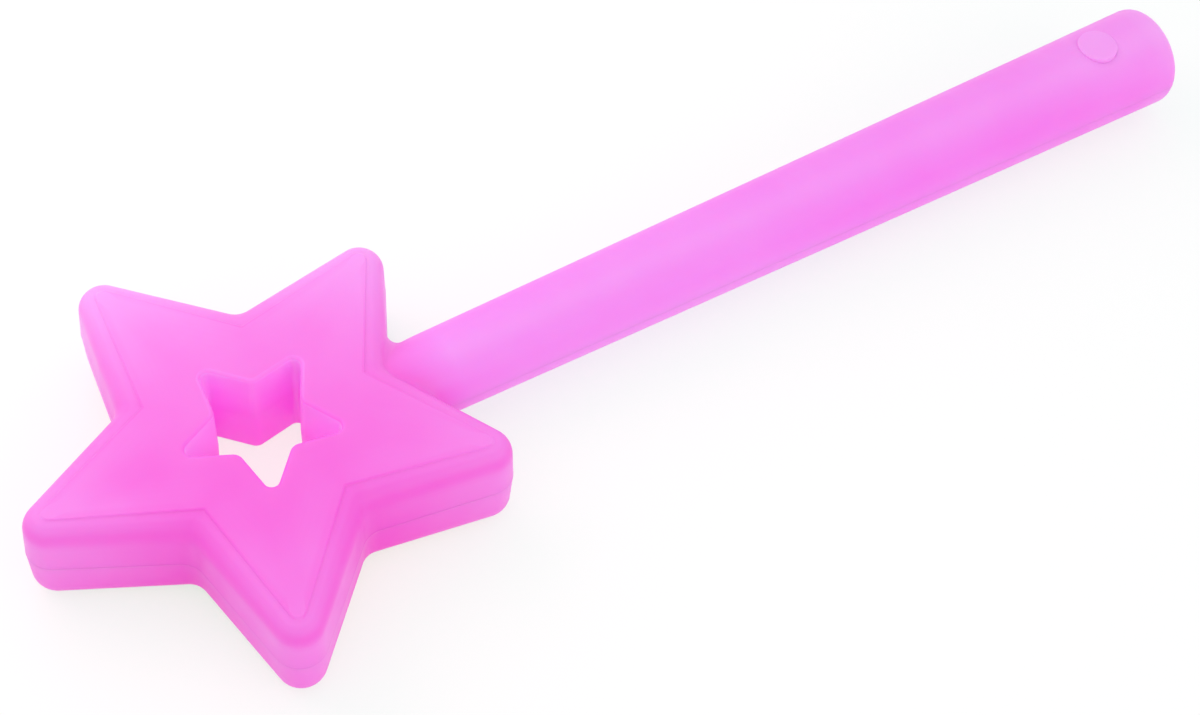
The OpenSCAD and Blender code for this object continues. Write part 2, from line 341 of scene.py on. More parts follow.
class StarForm:
    """A star with straight edges, from the distances of its tips and notches."""

    def __init__(self, tip_r, notch_r):
        self.tip_r = tip_r
        self.notch_r = notch_r
        rise = notch_r * math.sin(HALF_ARM)
        self.tip_a = math.atan2(rise, tip_r - notch_r * math.cos(HALF_ARM))
        self.notch_a = self.tip_a + HALF_ARM

    def gap(self, place):
        """How far a place lies inside the straight edges."""
        a = abs((math.atan2(place.y, place.x) + HALF_ARM) % (2 * HALF_ARM) - HALF_ARM)
        notch = polar(self.notch_r, 0.0)
        edge = (polar(self.tip_r, HALF_ARM) - notch).normalized()
        way = polar(place.length, a) - notch
        return edge.x * way.y - edge.y * way.x

    def drawn(self, tip_inset, notch_inset):
        """The same star drawn in, by its own amount at the tips and at the notches."""
        tip_r = self.tip_r - tip_inset / math.sin(self.tip_a)
        notch_r = self.notch_r - notch_inset / math.sin(self.notch_a)
        return StarForm(tip_r, notch_r)

    def tip_arc(self, arm, r):
        """The rounded tip of one arm."""
        middle = HALF_ARM * (2 * arm + 1)
        centre = polar(self.tip_r - r / math.sin(self.tip_a), middle)
        half = math.pi / 2 - self.tip_a
        return [centre + polar(r, a) for a in spread(middle - half, middle + half, TIP_STEPS)]

    def notch_arc(self, arm, r, steps):
        """The rounded notch before one arm."""
        middle = HALF_ARM * 2 * arm
        centre = polar(self.notch_r + r / math.sin(self.notch_a), middle)
        half = math.pi / 2 - self.notch_a
        inward = middle + math.pi
        return [centre + polar(r, a) for a in spread(inward + half, inward - half, steps)]

    def wall_x(self, across, r):
        """How far out the wall of the first notch stands, at a distance across it."""
        across = abs(across)
        if across < r * math.cos(self.notch_a):
            return self.notch_r + r / math.sin(self.notch_a) - math.sqrt(r * r - across * across)
        return self.notch_r + across / math.tan(self.notch_a)


class WandForm:
    """The wand's shape about the star's centre on the seam, worked out from its sizes."""

    def __init__(self, settings):
        s = self.s = settings.star
        h = self.h = settings.handle
        self.star = StarForm(s.tip_r, s.notch_r)
        self.hole = StarForm(s.hole_tip_r, s.hole_notch_r)
        self.face_z = s.half_t - s.panel_rise
        self.shoulder_z = self.face_z - s.shoulder_r
        self.face_inset = s.side_draft + s.shoulder_r
        self.panel = self.drawn_star(self.face_inset + s.panel_slope)
        tip_reach = s.tip_r - s.tip_round / math.sin(self.star.tip_a) + s.tip_round
        middle_x = (PART_BOX[0][0] + PART_BOX[1][0]) / 2
        self.centre = Vector((middle_x - (h.reach - tip_reach) / 2, 0.0, SHELL_BOX[0].z))
        self.cone_end = h.reach - h.end_r
        self.slope = (h.butt_r - h.neck_r) / (self.cone_end - s.notch_r)
        self.rows = self.wall_rows()
        neck_top = h.neck_r + NECK_ABOVE_SHARE * h.fillet_r
        self.neck_row = next(i for i, row in enumerate(self.rows) if row[1] > neck_top)
        self.columns = self.neck_columns()

    def handle_r(self, x):
        """Radius of the handle at a distance from the star's centre."""
        return self.h.neck_r + self.slope * (x - self.s.notch_r)

    def inset(self, z):
        """How far the star's wall is drawn in at a height above the seam."""
        s = self.s
        up = min(max(z - self.shoulder_z, 0.0), s.shoulder_r)
        lean = s.side_draft * min(z / self.shoulder_z, 1.0)
        return lean + s.shoulder_r - math.sqrt(s.shoulder_r ** 2 - up ** 2)

    def drawn_star(self, inset):
        """The star drawn in by an inset at its notches, and by less at its tips."""
        return self.star.drawn(inset * self.s.tip_shoulder_w / self.face_inset, inset)

    def tip_round(self, inset):
        """Radius of the tips, which sharpen towards the face panel."""
        share = min(inset / self.face_inset, 1.0)
        return self.s.tip_round + (self.s.panel_tip_r - self.s.tip_round) * share

    def notch_round(self, inset):
        """Radius of the notches, which sharpen towards the face panel."""
        share = min(max(inset / self.face_inset, 0.0), 1.0)
        return self.s.notch_round + (self.s.corner_r - self.s.notch_round) * share

    def wall_x(self, across, z):
        """How far out the wall of the handle's notch stands, across the wand and above the seam."""
        inset = self.inset(z)
        return self.drawn_star(inset).wall_x(across, self.notch_round(inset))

    def wall_rows(self):
        """Insets and heights of the star's outside, from the seam up to the edge of the panel's top."""
        s = self.s
        rows = [(-s.bead_out * out, s.bead_h * up) for out, up in BEAD_SHARES]
        heights = [s.bead_h * share for share in BESIDE_BEAD_SHARES]
        heights += spread(s.bead_h, self.shoulder_z, WALL_STEPS)[1:]
        rows += [(self.inset(z), z) for z in heights]
        for a in spread(0.0, math.pi / 2, SHOULDER_STEPS)[1:]:
            z = self.shoulder_z + s.shoulder_r * math.sin(a)
            rows.append((s.side_draft + s.shoulder_r * (1 - math.cos(a)), z))
        top = self.face_inset + s.panel_slope
        for along, up in PANEL_EDGE_SHARES:
            rows.append((self.face_inset + s.panel_slope * along, self.face_z + s.panel_rise * up))
        rows += [(top + s.border_w * share, s.half_t) for share in BORDER_SHARES]
        return rows

    def neck_columns(self):
        """Places across the handle's notch where the star's rings are divided."""
        half = self.h.neck_r + NECK_BESIDE_SHARE * self.h.fillet_r
        near = [-half * share for share in reversed(COLUMN_SHARES)]
        return near + [half * share for share in COLUMN_SHARES[1:]]

    def star_ring(self, inset, z):
        """A ring of the star's outside. Its first points cross the notch that the handle leaves from."""
        star = self.drawn_star(inset)
        notch_r = self.notch_round(inset)
        ring = [Vector((star.wall_x(y, notch_r), y)) for y in self.columns]
        for arm in range(ARMS):
            if arm:
                ring += star.notch_arc(arm, notch_r, NOTCH_STEPS)
            ring += star.tip_arc(arm, self.tip_round(inset))
        return [Vector((p.x, p.y, z)) for p in ring]

    def hole_ring(self, inset, z):
        """A ring of the hole's wall, with as many points as one of the star's."""
        hole = self.hole.drawn(inset, inset)
        ring = []
        for arm in range(ARMS):
            steps = NOTCH_STEPS if arm else len(self.columns) - 1
            ring += hole.notch_arc(arm, self.s.hole_notch_round + inset, steps)
            ring += hole.tip_arc(arm, self.s.hole_tip_round - inset)
        return [Vector((p.x, p.y, z)) for p in ring]

    def hole_rings(self):
        """The rings of the hole from its rim down to the seam."""
        s = self.s
        rings = []
        for a in spread(0.0, math.pi / 2, RIM_STEPS):
            out = s.hole_rim_r * (1 - math.sin(a))
            down = s.hole_rim_r * (1 - math.cos(a))
            rings.append(self.hole_ring(-out, s.half_t - down))
        low = s.half_t - s.hole_rim_r
        for share in HOLE_SHARES:
            rings.append(self.hole_ring(s.hole_draft * share, low * (1 - share)))
        return rings

    def in_hole(self, point):
        """Whether a point lies on the hole's wall or on its rounded rim."""
        s = self.s
        near = abs(self.hole.gap(point.xy)) < HOLE_NEAR_SHARE * s.hole_rim_r
        below = abs(point.z) < s.half_t - HOLE_EDGE_SHARE * s.hole_rim_r
        return near and below and point.xy.length < s.hole_tip_r

    def hole_depth(self, point):
        """How deep in the hole a point lies, from 0 at the upper rim to 1 at the lower one."""
        return (self.s.half_t - point.z) / (2 * self.s.half_t)

    def stick_share(self, point):
        """How far a point belongs to the handle, from 0 on the star to 1."""
        if abs(point.y) > self.handle_r(point.x) + self.h.fillet_r:
            return 0.0
        return blend(0.0, 1.0, (point.x - self.wall_x(self.h.neck_r, 0.0)) / self.h.neck_r)

    def star_light_and_shade(self, point):
        """The painted light and shade at a point of the star."""
        s = self.s
        out = point.xy.length
        z = abs(point.z)
        arm_foot = ARM_FOOT_SHARE * s.notch_r
        tip = blend(0.0, 1.0, (out - arm_foot) / (ARM_TIP_SHARE * s.tip_r - arm_foot))
        # The far arms, towards the light behind the wand, are painted paler
        far = point.xy.dot(BACK_WAY) / s.tip_r
        if self.in_hole(point):
            # The hole's rounded rim is painted with a highlight on its far side
            if z > s.half_t - RIM_TOP_SHARE * s.hole_rim_r:
                return PANEL_LIGHT + BACK_LIGHT * far + RIM_HIGHLIGHT * blend(0.0, 1.0, far / RIM_BACK_SHARE)
            # Painted light down the hole's wall and in its nooks
            nook = (out - s.hole_notch_r) / (s.hole_tip_r - s.hole_notch_r)
            return curve(self.hole_depth(point), HOLE_LIGHT_BANDS) + NOOK_LIGHT * max(nook, 0.0)
        # The face panel is painted lighter than the wall, and both are painted paler to the tips
        if z > self.face_z:
            back = PANEL_BACK_SHARE if far > 0 else PANEL_FRONT_SHARE
            painted_light = PANEL_LIGHT + tip * PANEL_TIP_LIGHT + BACK_LIGHT * far * back
        else:
            back = WALL_BACK_SHARE if far > 0 else WALL_FRONT_SHARE
            painted_light = WALL_LIGHT + tip * WALL_TIP_LIGHT + BACK_LIGHT * far * back
        up = point.z / s.half_t
        # Painted shade bands and painted highlights across the star's wall
        painted_light += curve(up, TIP_SHADE_BANDS) * tip + curve(up, NOTCH_SHADE_BANDS) * (1 - tip)
        # The border of the face panel is painted deeper, as shade in its crease
        raised = z > self.face_z + BORDER_FROM_SHARE * s.panel_rise
        if raised and self.panel.gap(point.xy) < s.border_w:
            painted_light -= BORDER_SHADE
        return painted_light

    def handle_light_and_shade(self, point):
        """The painted light and shade at a point of the handle."""
        turn = math.degrees(math.atan2(point.z, -point.y))
        turn += FULL_TURN if turn < UNDERSIDE else 0
        share = point.x / self.h.reach
        # Painted highlight and shade round the handle, and along it painted shade on the near side and
        # painted light above
        over = curve(turn, OVER_SIDE) if share > OVER_FROM_SHARE else 1.0
        near = curve(turn, NEAR_SIDE)
        along = curve(share, OVER_LIGHT_BANDS) * over + curve(share, NEAR_SHADE_BANDS) * near
        rim = min(point.yz.length / self.h.neck_r, 1.0)
        return HANDLE_LIGHT + (curve(turn, HANDLE_SHADE_BANDS) + along) * rim

    def light_and_shade(self, point):
        """The painted light and shade at a point of a shell."""
        stick = self.stick_share(point)
        star = self.star_light_and_shade(point) if stick < 1 else 0.0
        handle = self.handle_light_and_shade(point) if stick > 0 else 0.0
        return star + (handle - star) * stick

    def painted_glow(self, point):
        """How brightly the hole's wall glows, a painted glow that stands in for light through the plastic.
        """
        return curve(self.hole_depth(point), PAINTED_GLOW_BANDS) if self.in_hole(point) else 0.0

    def blueness(self, point):
        """How much bluer than the star's face a point of a shell is painted: the hole's wall as painted
        shade, and the handle by its own share.
        """
        # The hole's wall is painted bluer, as shade
        if self.in_hole(point):
            return HOLE_SHADE_BLUE
        share = point.x / self.h.reach
        return self.stick_share(point) * (NECK_BLUE + (BUTT_BLUE - NECK_BLUE) * share)

    def neck_rays(self):
        """Direction round the handle and stand-out of each point on the edge of the neck's opening."""
        half = self.columns[-1]
        side = [(math.atan2(z, half), max(-inset, 0.0)) for inset, z in self.rows[:self.neck_row + 1]]
        top_z = self.rows[self.neck_row][1]
        over = [(math.atan2(top_z, y), 0.0) for y in reversed(self.columns[1:-1])]
        return side + over + [(math.pi - a, bead) for a, bead in reversed(side)]

    def neck_stations(self):
        """Rows of points from the neck's opening over the fillet and along the handle to the butt end."""
        return list(zip(*[self.neck_line(a, bead) for a, bead in self.neck_rays()]))

    def neck_line(self, angle, bead):
        """The line of one neck ray, from the star's wall along the handle to the middle of the butt end."""
        h = self.h
        across = math.cos(angle)
        up = math.sin(angle)
        low_r = h.neck_r + bead
        high_r = low_r + h.fillet_r
        low_x = self.wall_x(low_r * across, low_r * up)
        lean = math.atan2(h.fillet_r, self.wall_x(high_r * across, high_r * up) - low_x)
        corner_x = low_x + bead / math.sin(lean)
        middle = Vector((corner_x + h.fillet_r / math.tan(lean / 2), low_r + h.fillet_r))
        turns = spread(math.pi / 2 + lean, 3 * math.pi / 2, FILLET_STEPS)
        arc = [middle + polar(h.fillet_r, a) for a in turns]
        side_q = self.columns[-1] / max(abs(across), LEAST_SHARE)
        top_q = self.rows[self.neck_row][1] / max(up, LEAST_SHARE)
        edge_q = min(side_q, top_q) + bead * abs(across)
        line = []
        for share in NECK_WALL_SHARES:
            q = edge_q + (arc[0].y - edge_q) * share
            line.append(Vector((self.wall_x(q * across, q * up) + bead / math.sin(lean), q)))
        line += arc
        clear_x = self.wall_x(h.neck_r + h.fillet_r, 0.0) + PAST_FILLET_SHARE * h.fillet_r
        for x in spread(clear_x, self.cone_end, HANDLE_STEPS):
            line.append(Vector((x, self.handle_r(x) + bead)))
        side_r = self.handle_r(self.cone_end)
        edge = Vector((self.cone_end, side_r - h.end_r))
        for a in spread(0.0, math.pi / 2, END_STEPS)[1:]:
            line.append(edge + (h.end_r + bead) * Vector((math.sin(a), math.cos(a))))
        end_q = line[-1].y
        line += [Vector((h.reach + bead, end_q * share)) for share in BUTT_SHARES]
        return [Vector((p.x, p.y * across, p.y * up)) for p in line]


class ShellModel:
    """A half shell in edit mode, grown ring by ring."""

    def __init__(self, name, ring):
        if bpy.context.object and bpy.context.object.mode != "OBJECT":
            bpy.ops.object.mode_set(mode="OBJECT")
        bpy.ops.object.select_all(action="DESELECT")
        bpy.ops.mesh.primitive_circle_add(vertices=len(ring), radius=ring[0].length, fill_type="NOTHING")
        self.obj = bpy.context.object
        self.obj.name = name
        self.obj.data.name = name
        bpy.ops.object.mode_set(mode="EDIT")
        bpy.ops.mesh.select_all(action="SELECT")
        self.mesh = self.obj.data
        bm = bmesh.from_edit_mesh(self.mesh)
        order = bm.verts.layers.int.new("order")
        bm.verts.layers.int.new("row")
        for i, v in enumerate(bm.verts):
            v[order] = i
        self.row = 0
        self.place(ring)

    def place(self, points):
        """Puts the selected vertices on the next ring's points and notes their row."""
        bm = bmesh.from_edit_mesh(self.mesh)
        order, row = bm.verts.layers.int["order"], bm.verts.layers.int["row"]
        for v in bm.verts:
            if v.select:
                v.co = points[v[order]]
                v[row] = self.row
        bmesh.update_edit_mesh(self.mesh)

    def extrude(self, points):
        """Extrudes the selected edges and puts them on the next ring's points."""
        bpy.ops.mesh.extrude_edges_move(TRANSFORM_OT_translate={"value": (0.0, 0.0, 0.0)})
        self.row += 1
        self.place(points)

    def open_neck(self, top_row, columns):
        """Deletes the wall where the handle leaves the star and selects the opening's edge, in its order."""
        bpy.ops.mesh.select_mode(type="FACE")
        bpy.ops.mesh.select_all(action="DESELECT")
        bm = bmesh.from_edit_mesh(self.mesh)
        order, row = bm.verts.layers.int["order"], bm.verts.layers.int["row"]
        for f in bm.faces:
            f.select_set(all(v[row] <= top_row and v[order] < columns for v in f.verts))
        bmesh.update_edit_mesh(self.mesh)
        bpy.ops.mesh.delete(type="FACE")
        bpy.ops.mesh.select_mode(type="EDGE")
        bpy.ops.mesh.select_all(action="DESELECT")
        bm = bmesh.from_edit_mesh(self.mesh)
        order, row = bm.verts.layers.int["order"], bm.verts.layers.int["row"]
        last = columns - 1
        rim = {v for v in bm.verts if v[row] <= top_row and v[order] <= last}
        for v in rim:
            if v[order] == last:
                v[order] = v[row]
            elif v[order] == 0:
                v[order] = 2 * top_row + last - v[row]
            else:
                v[order] = top_row + last - v[order]
        for e in bm.edges:
            if e.is_boundary and e.verts[0] in rim and e.verts[1] in rim:
                e.select_set(True)
        bmesh.update_edit_mesh(self.mesh)

    def close_seam(self):
        """Merges the butt end's middle, fills the flat seam and turns the faces outwards."""
        bpy.ops.mesh.select_all(action="SELECT")
        bpy.ops.mesh.remove_doubles(threshold=MERGE)
        bpy.ops.mesh.select_all(action="DESELECT")
        bpy.ops.mesh.select_non_manifold()
        bpy.ops.mesh.fill(use_beauty=True)
        bpy.ops.mesh.select_all(action="SELECT")
        bpy.ops.mesh.normals_make_consistent(inside=False)
        bpy.ops.object.mode_set(mode="OBJECT")
        for name in ("order", "row"):
            self.mesh.attributes.remove(self.mesh.attributes[name])


def cut(obj, cutter):
    """Cuts one closed form out of another and removes the cutter."""
    modifier = obj.modifiers.new("cut", "BOOLEAN")
    modifier.operation = "DIFFERENCE"
    modifier.solver = "EXACT"
    modifier.object = cutter
    bpy.context.view_layer.objects.active = obj
    bpy.ops.object.modifier_apply(modifier=modifier.name)
    bpy.data.objects.remove(cutter)


def half_shell(name, form):
    """Models one half of the wand: the star ring by ring, then the handle out of its notch."""
    model = ShellModel(name, form.star_ring(*form.rows[0]))
    for row in form.rows[1:]:
        model.extrude(form.star_ring(*row))
    rim = form.hole_rings()[0]
    edge = form.star_ring(*form.rows[-1])
    for share in spread(0.0, 1.0, PANEL_STEPS)[1:-1]:
        model.extrude([e.lerp(r, share) for e, r in zip(edge, rim)])
    for ring in form.hole_rings():
        model.extrude(ring)
    model.open_neck(form.neck_row, len(form.columns))
    for station in form.neck_stations():
        model.extrude(station)
    model.close_seam()
    return model.obj


def settle(obj, form):
    """Moves the modelled mesh from the star's centre to its place in the frame."""
    bpy.ops.object.mode_set(mode="EDIT")
    bpy.ops.mesh.select_all(action="SELECT")
    bpy.ops.transform.translate(value=form.centre)
    bpy.ops.object.mode_set(mode="OBJECT")


def mark(obj, name, value_at):
    """Writes a value on each vertex, by its place."""
    marks = obj.data.attributes.new(name, "FLOAT", "POINT")
    marks.data.foreach_set("value", [value_at(v.co) for v in obj.data.vertices])


def mark_shell(shell, form):
    """Writes on a shell its painted light and shade, how blue it is painted and its painted glow."""
    for name, value_at in (("painted_light", form.light_and_shade), ("blue", form.blueness), ("painted_glow", form.painted_glow)):
        mark(shell, name, lambda co: value_at(co - form.centre))


def finish_piece(obj, node, material):
    """Smooths a piece, gives it its finish and ties it to the part."""
    bpy.ops.object.select_all(action="DESELECT")
    obj.select_set(True)
    bpy.context.view_layer.objects.active = obj
    bpy.ops.object.shade_smooth_by_angle(angle=SMOOTH_ANGLE)
    obj.data.materials.clear()
    obj.data.materials.append(material)
    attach(obj, "root")
    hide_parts(node)


def turned(name, profile, place):
    """Turns a closed form from radii and heights, extruding a circle by steps, and moves it to its place."""
    bpy.ops.object.select_all(action="DESELECT")
    first_r, first_z = profile[0]
    bpy.ops.mesh.primitive_circle_add(
        vertices=ROUND_STEPS, radius=first_r, fill_type="NGON", location=(0, 0, first_z))
    obj = bpy.context.object
    obj.name = obj.data.name = name
    bpy.ops.object.transform_apply(location=True)
    bpy.ops.object.mode_set(mode="EDIT")
    bpy.ops.mesh.select_all(action="SELECT")
    r, z = first_r, first_z
    for next_r, next_z in profile[1:]:
        bpy.ops.mesh.extrude_region_move(TRANSFORM_OT_translate={"value": (0, 0, next_z - z)})
        share = next_r / r
        bpy.ops.transform.resize(value=(share, share, 1), center_override=(0, 0, next_z))
        r, z = next_r, next_z
    bpy.ops.mesh.select_all(action="SELECT")
    bpy.ops.mesh.remove_doubles(threshold=MERGE)
    bpy.ops.mesh.normals_make_consistent(inside=False)
    bpy.ops.transform.translate(value=place)
    bpy.ops.object.mode_set(mode="OBJECT")
    return obj


def plug_head_r():
    """Radius of the plug's head."""
    return (PLUG_BOX[1].x - PLUG_BOX[0].x) / 2


def plug_profile(handle, gap, over):
    """Radii and heights of the plug from its foot up, or of the room for it to a height over it."""
    head_r = plug_head_r() + gap
    stem_r = handle.plug_stem_r + gap
    foot_z = PLUG_BOX[0].z - PLUG_BOX[1].z - gap
    seat_z = -handle.plug_head_t
    c = handle.plug_chamfer
    if over:
        return [(stem_r, foot_z), (stem_r, seat_z), (head_r, seat_z), (head_r, over)]
    return [(stem_r - c, foot_z), (stem_r, foot_z + c), (stem_r, seat_z), (head_r, seat_z),
            (head_r, -c), (head_r - PLUG_EASE_SHARE * c, -PLUG_EASE_SHARE * c),
            (head_r - c, 0), (head_r - PLUG_FLAT_SHARE * c, 0)]


def plug_place():
    """The middle of the plug's top face."""
    return Vector(((PLUG_BOX[0].x + PLUG_BOX[1].x) / 2, 0, PLUG_BOX[1].z))


def cut_seat(shell, handle):
    """Cuts the stepped seat of the plug and rounds its rim where it breaks the handle's surface."""
    place = plug_place()
    cut(shell, turned("plug_room", plug_profile(handle, handle.seat_gap, handle.plug_head_t), place))
    radius = plug_head_r() + handle.seat_gap
    floor_z = place.z - SEAT_DEEP_SHARE * handle.plug_head_t
    bpy.ops.object.select_all(action="DESELECT")
    shell.select_set(True)
    bpy.ops.object.mode_set(mode="EDIT")
    bpy.ops.mesh.select_mode(type="EDGE")
    bpy.ops.mesh.select_all(action="DESELECT")
    bm = bmesh.from_edit_mesh(shell.data)
    high = {v for v in bm.verts if v.co.z > floor_z}
    rim = {v for v in high if abs((v.co - place).xy.length - radius) < SEAT_NEAR_SHARE * radius}
    for e in bm.edges:
        e.select_set(e.verts[0] in rim and e.verts[1] in rim)
    bmesh.update_edit_mesh(shell.data)
    bpy.ops.mesh.bevel(offset=handle.seat_rim, segments=SEAT_RIM_STEPS, affect="EDGES", clamp_overlap=True)
    bpy.ops.object.mode_set(mode="OBJECT")


def socket(group, name, kind, way, default=None):
    """A named input or output of a node group."""
    made = group.interface.new_socket(name=name, in_out=way, socket_type=kind)
    if default is not None:
        made.default_value = default


def noise(tree, place, scale, detail):
    """A noise on the piece's own coordinates."""
    made = tree.nodes.new("ShaderNodeTexNoise")
    made.inputs["Scale"].default_value = scale
    made.inputs["Detail"].default_value = detail
    tree.links.new(place.outputs["Object"], made.inputs["Vector"])
    return made


def pigment_group():
    """Tint of translucent plastic: deep where painted in shade, pale where painted in light, clouded by the
    pigment.
    """
    group = bpy.data.node_groups.get("pigment and painted light tint")
    if group:
        return group
    group = bpy.data.node_groups.new("pigment and painted light tint", "ShaderNodeTree")
    socket(group, "Deep", "NodeSocketColor", "INPUT")
    socket(group, "Pale", "NodeSocketColor", "INPUT")
    socket(group, "Painted light", "NodeSocketFloat", "INPUT", 0.3)
    socket(group, "Cloud", "NodeSocketFloat", "INPUT", 0.15)
    socket(group, "Colour", "NodeSocketColor", "OUTPUT")
    ins, outs = group.nodes.new("NodeGroupInput"), group.nodes.new("NodeGroupOutput")
    place = group.nodes.new("ShaderNodeTexCoord")
    cloud = noise(group, place, *CLOUD_NOISE)
    centred = group.nodes.new("ShaderNodeMath")
    centred.operation = "SUBTRACT"
    centred.inputs[1].default_value = NOISE_MIDDLE
    painted_light = group.nodes.new("ShaderNodeMath")
    painted_light.operation = "MULTIPLY_ADD"
    tint = group.nodes.new("ShaderNodeMix")
    tint.data_type = "RGBA"
    tint.clamp_factor = False
    group.links.new(cloud.outputs["Fac"], centred.inputs[0])
    group.links.new(centred.outputs[0], painted_light.inputs[0])
    group.links.new(ins.outputs["Cloud"], painted_light.inputs[1])
    group.links.new(ins.outputs["Painted light"], painted_light.inputs[2])
    group.links.new(painted_light.outputs[0], tint.inputs["Factor"])
    group.links.new(ins.outputs["Deep"], tint.inputs["A"])
    group.links.new(ins.outputs["Pale"], tint.inputs["B"])
    group.links.new(tint.outputs["Result"], outs.inputs["Colour"])
    return group


def satin_group():
    """Satin of a moulded skin: roughness that drifts, and a fine grain for the bump."""
    group = bpy.data.node_groups.get("satin skin")
    if group:
        return group
    group = bpy.data.node_groups.new("satin skin", "ShaderNodeTree")
    socket(group, "Smooth", "NodeSocketFloat", "INPUT", 0.40)
    socket(group, "Rough", "NodeSocketFloat", "INPUT", 0.50)
    socket(group, "Roughness", "NodeSocketFloat", "OUTPUT")
    socket(group, "Height", "NodeSocketFloat", "OUTPUT")
    ins, outs = group.nodes.new("NodeGroupInput"), group.nodes.new("NodeGroupOutput")
    place = group.nodes.new("ShaderNodeTexCoord")
    drift = noise(group, place, *DRIFT_NOISE)
    grain = noise(group, place, *GRAIN_NOISE)
    waves = noise(group, place, *WAVE_NOISE)
    rough = group.nodes.new("ShaderNodeMapRange")
    rough.inputs["From Min"].default_value = DRIFT_LOW
    rough.inputs["From Max"].default_value = DRIFT_HIGH
    height = group.nodes.new("ShaderNodeMath")
    height.operation = "MULTIPLY_ADD"
    height.inputs[1].default_value = GRAIN_SHARE
    group.links.new(drift.outputs["Fac"], rough.inputs["Value"])
    group.links.new(ins.outputs["Smooth"], rough.inputs["To Min"])
    group.links.new(ins.outputs["Rough"], rough.inputs["To Max"])
    group.links.new(grain.outputs["Fac"], height.inputs[0])
    group.links.new(waves.outputs["Fac"], height.inputs[2])
    group.links.new(rough.outputs["Result"], outs.inputs["Roughness"])
    group.links.new(height.outputs[0], outs.inputs["Height"])
    return group


def satin_pink(name, deep, blue, pale, cloud):
    """Satin translucent pink plastic, with painted light and shade and a painted glow as the piece's own
    marks say.
    """
    material = bpy.data.materials.new(name)
    material.use_nodes = True
    tree = material.node_tree
    shader = tree.nodes["Principled BSDF"]
    shader.inputs["Specular IOR Level"].default_value = 0.6
    shader.inputs["Subsurface Weight"].default_value = 0.35
    shader.inputs["Subsurface Radius"].default_value = (1.0, 0.35, 0.7)
    shader.inputs["Subsurface Scale"].default_value = 1.5 * MM
    tint = tree.nodes.new("ShaderNodeGroup")
    tint.node_tree = pigment_group()
    tint.inputs["Pale"].default_value = (*pale, 1.0)
    tint.inputs["Cloud"].default_value = cloud
    marks = {}
    for mark_name in ("painted_light", "blue", "painted_glow"):
        marks[mark_name] = tree.nodes.new("ShaderNodeAttribute")
        marks[mark_name].attribute_name = mark_name
    body = tree.nodes.new("ShaderNodeMix")
    body.data_type = "RGBA"
    body.inputs["A"].default_value = (*deep, 1.0)
    body.inputs["B"].default_value = (*blue, 1.0)
    body.clamp_factor = False
    painted_glow_colour = tree.nodes.new("ShaderNodeVectorMath")
    painted_glow_colour.operation = "SCALE"
    shader.inputs["Emission Strength"].default_value = 1.0
    skin = tree.nodes.new("ShaderNodeGroup")
    skin.node_tree = satin_group()
    bump = tree.nodes.new("ShaderNodeBump")
    bump.inputs["Strength"].default_value = 0.15
    bump.inputs["Distance"].default_value = 0.1 * MM
    tree.links.new(marks["blue"].outputs["Fac"], body.inputs["Factor"])
    tree.links.new(body.outputs["Result"], tint.inputs["Deep"])
    tree.links.new(marks["painted_light"].outputs["Fac"], tint.inputs["Painted light"])
    tree.links.new(tint.outputs["Colour"], shader.inputs["Base Color"])
    # The painted glow: the tint as emission on the hole's wall
    tree.links.new(tint.outputs["Colour"], painted_glow_colour.inputs["Vector"])
    tree.links.new(marks["painted_glow"].outputs["Fac"], painted_glow_colour.inputs["Scale"])
    tree.links.new(painted_glow_colour.outputs["Vector"], shader.inputs["Emission Color"])
    tree.links.new(skin.outputs["Roughness"], shader.inputs["Roughness"])
    tree.links.new(skin.outputs["Height"], bump.inputs["Height"])
    tree.links.new(bump.outputs["Normal"], shader.inputs["Normal"])
    return material


def shell_pink(name, colours):
    """The plastic of a half shell."""
    return satin_pink(name, colours.deep, colours.blue, colours.pale, SHELL_CLOUD)


class WAND_OT_upper_shell(bpy.types.Operator):
    """Models the upper half shell with the seat of the plug"""

    bl_idname = "wand.upper_shell"
    bl_label = "Upper shell"

    def execute(self, context):
        settings = context.scene.wand
        form = WandForm(settings)
        shell = half_shell("upper_shell_skin", form)
        settle(shell, form)
        cut_seat(shell, settings.handle)
        mark_shell(shell, form)
        finish_piece(shell, "upper_shell", shell_pink("upper shell pink", settings.colours))
        return {"FINISHED"}


class WAND_OT_lower_shell(bpy.types.Operator):
    """Models the lower half shell, the upper one's mirror image without the seat"""

    bl_idname = "wand.lower_shell"
    bl_label = "Lower shell"

    def execute(self, context):
        settings = context.scene.wand
        form = WandForm(settings)
        shell = half_shell("lower_shell_skin", form)
        bpy.ops.object.mode_set(mode="EDIT")
        bpy.ops.mesh.select_all(action="SELECT")
        bpy.ops.transform.resize(value=(1, 1, -1), center_override=(0, 0, 0))
        bpy.ops.mesh.normals_make_consistent(inside=False)
        bpy.ops.object.mode_set(mode="OBJECT")
        settle(shell, form)
        mark_shell(shell, form)
        finish_piece(shell, "lower_shell", shell_pink("lower shell pink", settings.colours))
        return {"FINISHED"}


class WAND_OT_air_plug(bpy.types.Operator):
    """Turns the plug that closes the air hole"""

    bl_idname = "wand.air_plug"
    bl_label = "Air plug"

    def execute(self, context):
        settings = context.scene.wand
        plug = turned("air_plug_skin", plug_profile(settings.handle, 0.0, 0.0), plug_place())
        top_z = PLUG_BOX[1].z - settings.handle.plug_chamfer
        # The plug's top is painted light and its sides are painted shade
        mark(plug, "painted_light", lambda co: PLUG_TOP_LIGHT if co.z > top_z else PLUG_SIDE_SHADE)
        colours = settings.colours
        pink = satin_pink("plug pink", colours.blue, colours.blue, colours.plug, PLUG_CLOUD)
        finish_piece(plug, "air_plug", pink)
        return {"FINISHED"}


